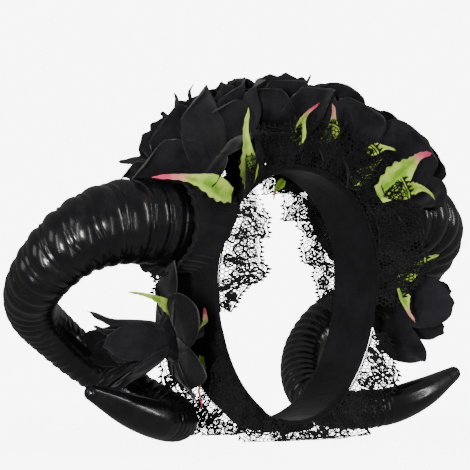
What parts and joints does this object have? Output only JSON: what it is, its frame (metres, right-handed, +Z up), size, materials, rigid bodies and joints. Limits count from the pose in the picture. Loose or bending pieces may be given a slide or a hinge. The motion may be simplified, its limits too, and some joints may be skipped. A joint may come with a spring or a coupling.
{
  "type": "ram horns headband",
  "caption": "Ribbon-wrapped hair hoop with two curled, ridged ram horns at its sides, black fabric roses, small green sepals and gathered lace edging.",
  "frame": {"origin": "centre of the bounding box on the surface the headband stands on", "axes": "+Z up, +X towards the wearer's left, the wearer faces -Y"},
  "size_m": [0.3448, 0.1294, 0.2097],
  "materials": {
    "ribbon": "matte black ribbon",
    "horn": "glossy black, ridged",
    "rose_cloth": "matte charcoal black petals",
    "sepal": "matte yellow-green with pink and peach tips",
    "lace": "black net lace with floral motifs"
  },
  "bodies": {
    "root": {"band": "ribbon", "horn_left": "horn", "horn_right": "horn", "cuff_left": "ribbon", "cuff_right": "ribbon", "leaf_cuff_right": "sepal", "leaf_gap_right": "sepal", "leaf_mid_pink": "sepal", "leaf_mid_peach": "sepal", "leaf_gap_left": "sepal", "leaf_side_green": "sepal", "leaf_side_pink": "sepal", "leaf_cuff_left": "sepal", "leaf_low_pink": "sepal", "leaf_low_thin": "sepal", "leaf_low_peach": "sepal", "leaf_low_dark": "sepal", "leaf_stem_right": "sepal", "leaf_back_left": "sepal", "ruffle_front_upper": "lace", "ruffle_front_lower": "lace", "ruffle_back_upper": "lace", "ruffle_back_lower": "lace", "rose_top_middle": "rose_cloth", "rose_top_right": "rose_cloth", "rose_top_left": "rose_cloth", "rose_side_right": "rose_cloth", "rose_side_left": "rose_cloth", "rose_low_right": "rose_cloth", "rose_low_left": "rose_cloth"}
  },
  "joints": []
}
